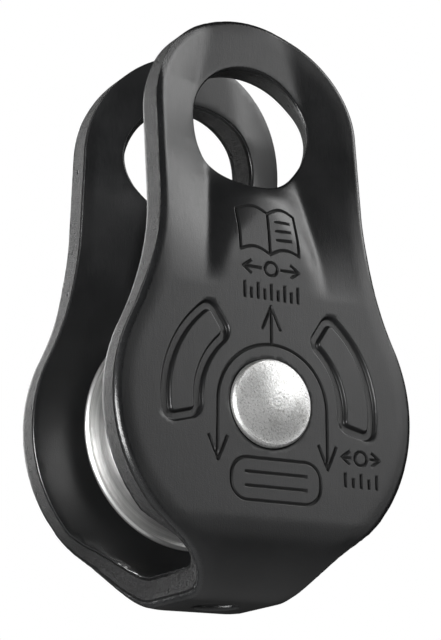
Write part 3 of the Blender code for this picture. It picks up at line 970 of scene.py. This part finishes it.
def washer_polymer():
    """Natural polymer with faint turning lines and grease marks."""
    g = Graph("washer_polymer")
    cloud = g.noise(0.6, 4.0)
    fine = g.noise(5.0, 3.0)
    colour = g.mix(g.span(cloud, 0.3, 0.7, 0.0, 1.0), (0.74, 0.73, 0.69),
                   (0.62, 0.61, 0.57))
    rough = g.span(fine, 0.3, 0.7, 0.42, 0.56)
    return g.finish(Base_Color=colour, Roughness=rough, Normal=g.bump(fine, 0.02),
                    Subsurface_Weight=0.08, Subsurface_Radius=(0.001, 0.001, 0.001))


# ----------------------------------------------------- stage, light, view

FLOOR_Z = -0.15
CAMERA_AZIMUTH = -28.892
CAMERA_ELEVATION = -14.982
CAMERA_ROLL = -0.353
CAMERA_DISTANCE = 0.293
CAMERA_AIM = (0.00078, -0.00031, 0.0392)
CAMERA_LENS = 120.94


def build_camera():
    azimuth, elevation = math.radians(CAMERA_AZIMUTH), math.radians(CAMERA_ELEVATION)
    back = Vector((math.sin(azimuth) * math.cos(elevation),
                   -math.cos(azimuth) * math.cos(elevation), math.sin(elevation)))
    right = Vector((math.cos(azimuth), math.sin(azimuth), 0.0))
    turn = Matrix.Rotation(math.radians(CAMERA_ROLL), 3, back)
    right = turn @ right
    up = back.cross(right)
    data = bpy.data.cameras.new("camera")
    data.sensor_width = 36.0
    data.lens = CAMERA_LENS
    data.clip_start = 0.01
    camera = bpy.data.objects.new("camera", data)
    bpy.context.scene.collection.objects.link(camera)
    place = Matrix((right, up, back)).transposed().to_4x4()
    place.translation = Vector(CAMERA_AIM) + back * CAMERA_DISTANCE
    camera.matrix_world = place
    bpy.context.scene.camera = camera


# Soft boxes round the object: azimuth from the front, towards +X, and elevation in
# degrees, width and height in metres, power in watts
SOFT_BOXES = [
    ("key_right", 64.0, 36.0, 0.3, 0.3, 1.2),
    ("front", 37.0, 20.0, 0.3, 0.3, 0.6),
    ("front_low", 32.0, -19.0, 0.3, 0.3, 0.17),
    ("low_left", -25.0, -20.0, 0.3, 0.3, 0.12),
    ("edge", -61.0, -8.0, 0.2, 0.22, 1.9),
    ("left", -91.0, -11.0, 0.3, 0.4, 6.8),
    ("left_rear", -150.0, 35.0, 0.3, 0.3, 0.2),
    ("rear", 185.0, 12.0, 0.3, 0.3, 1.0),
]
BOX_AIM = (0.0, 0.0, 0.04)
BOX_DISTANCE = 0.6
ROOM_LIGHT = 0.01
FLOOR_SIZE = 8.0
FLOOR_GLOW = 0.3          # light that a white card under the object sends up
CARD_REACH = (60.0, 400.0)   # millimetres from the object over which it fades
CARD_EDGE = 0.02
FLOOR_SEEN = 0.82         # how pale the camera sees the floor


def soft_box(name, azimuth, elevation, width, height, power):
    """A rectangle of light that faces the object from a distance."""
    turn, rise = math.radians(azimuth), math.radians(elevation)
    away = Vector((math.sin(turn) * math.cos(rise), -math.cos(turn) * math.cos(rise),
                   math.sin(rise)))
    data = bpy.data.lights.new(name, "AREA")
    data.shape = "RECTANGLE"
    data.size, data.size_y = width, height
    data.energy = power
    lamp = bpy.data.objects.new(name, data)
    bpy.context.scene.collection.objects.link(lamp)
    lamp.location = Vector(BOX_AIM) + away * BOX_DISTANCE
    lamp.rotation_mode = "QUATERNION"
    lamp.rotation_quaternion = away.to_track_quat("Z", "Y")
    lamp.visible_camera = False


def build_world():
    """White to look at, and a dim grey room to light the object."""
    world = bpy.data.worlds.new("studio")
    bpy.context.scene.world = world
    world.use_nodes = True
    tree = world.node_tree
    seen = tree.nodes["Background"]
    seen.inputs["Color"].default_value = (1.0, 1.0, 1.0, 1.0)
    seen.inputs["Strength"].default_value = 1.0
    room = tree.nodes.new("ShaderNodeBackground")
    room.inputs["Color"].default_value = (1.0, 1.0, 1.0, 1.0)
    room.inputs["Strength"].default_value = ROOM_LIGHT
    path = tree.nodes.new("ShaderNodeLightPath")
    mix = tree.nodes.new("ShaderNodeMixShader")
    tree.links.new(path.outputs["Is Camera Ray"], mix.inputs[0])
    tree.links.new(room.outputs[0], mix.inputs[1])
    tree.links.new(seen.outputs[0], mix.inputs[2])
    tree.links.new(mix.outputs[0], tree.nodes["World Output"].inputs["Surface"])


def build_floor():
    """Plain pale floor, low enough for a camera that looks up at the object."""
    bpy.ops.mesh.primitive_plane_add(size=FLOOR_SIZE, location=(0.0, 0.0, FLOOR_Z))
    floor = bpy.context.object
    floor.name = "floor"
    g = Graph("floor_paper")
    seen = g.node("ShaderNodeLightPath").outputs["Is Camera Ray"]
    away = g.node("ShaderNodeVectorMath", operation="LENGTH")
    g.feed(away.inputs[0], g.place)
    card = g.span(away.outputs["Value"], *CARD_REACH, FLOOR_GLOW, CARD_EDGE)
    paper = g.math("MULTIPLY", g.math("SUBTRACT", 1.0, seen), card)
    g.finish(Base_Color=(0.003, 0.003, 0.003), Roughness=1.0, Specular_IOR_Level=0.0,
             Emission_Color=(1.0, 1.0, 1.0),
             Emission_Strength=g.math("ADD", g.math("MULTIPLY", seen, FLOOR_SEEN), paper))
    floor.data.materials.append(g.material)


def build_stage():
    build_floor()
    build_world()
    for box in SOFT_BOXES:
        soft_box(*box)
    bpy.context.scene.view_settings.view_transform = "Standard"


build_camera()
build_strap(anodised())
build_sheave(turned_aluminium())
steel = tumbled_steel()
build_rivet(steel)
build_sleeve(steel)
liner = bush_liner()
polymer = washer_polymer()
build_bush(-1, liner)
build_bush(1, liner)
for plate in ("front", "rear"):
    build_washer(plate, polymer)
build_stage()
